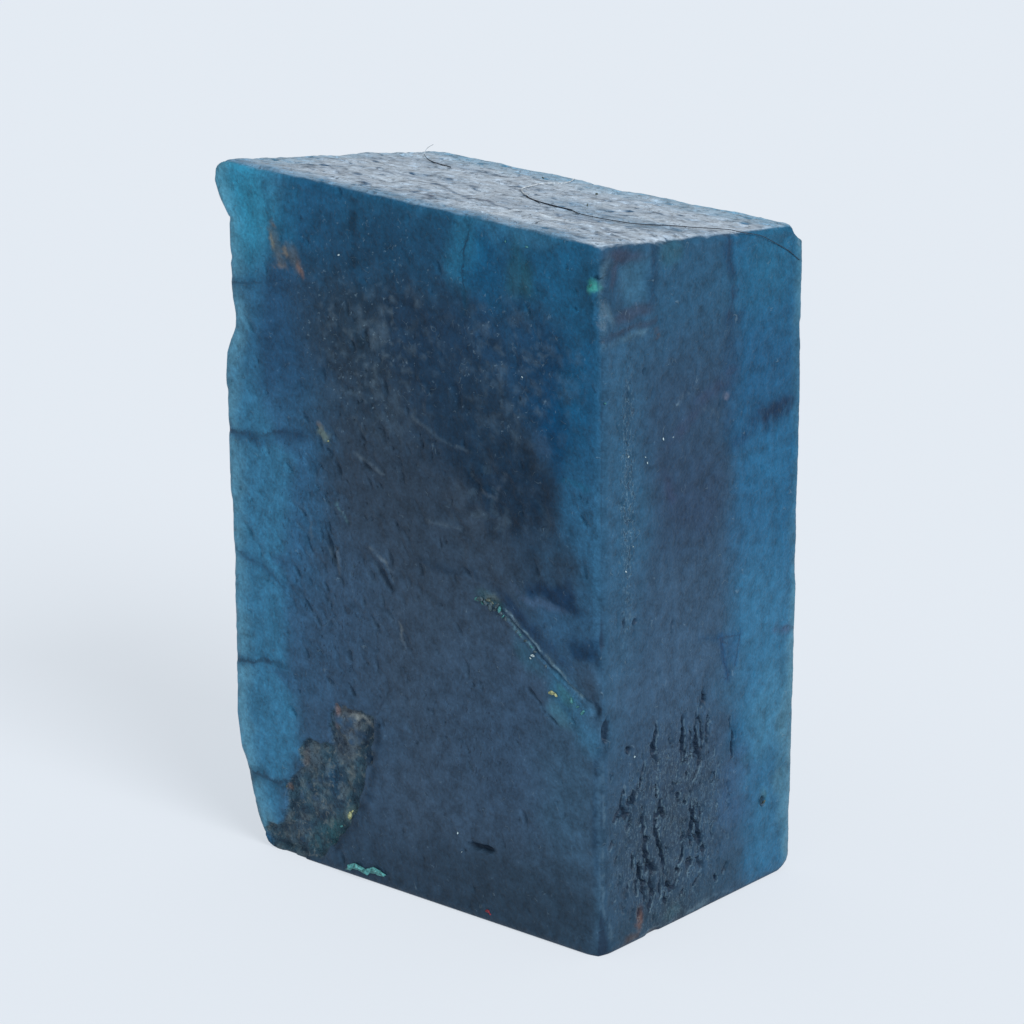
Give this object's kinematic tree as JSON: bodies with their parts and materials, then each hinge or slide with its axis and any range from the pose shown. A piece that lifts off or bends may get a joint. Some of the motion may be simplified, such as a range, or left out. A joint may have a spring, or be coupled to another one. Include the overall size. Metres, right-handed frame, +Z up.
{
  "type": "rough aquamarine",
  "caption": "Sawn upright block of dark blue rough aquamarine with pitted faces and a chipped foot, a gem rough specimen that stands on its flat base.",
  "frame": {"origin": "centre of the bounding box at the flat base, where the stone rests", "axes": "+Z up along the stone's height; -Y out of the broad sawn face; +X out of the narrow sawn face"},
  "size_m": [0.0278, 0.0174, 0.0396],
  "materials": {
    "aquamarine_rough": "sawn, dull, slightly waxy, translucent at the thin edges"
  },
  "bodies": {
    "root": {"aquamarine": "aquamarine_rough"}
  },
  "joints": []
}
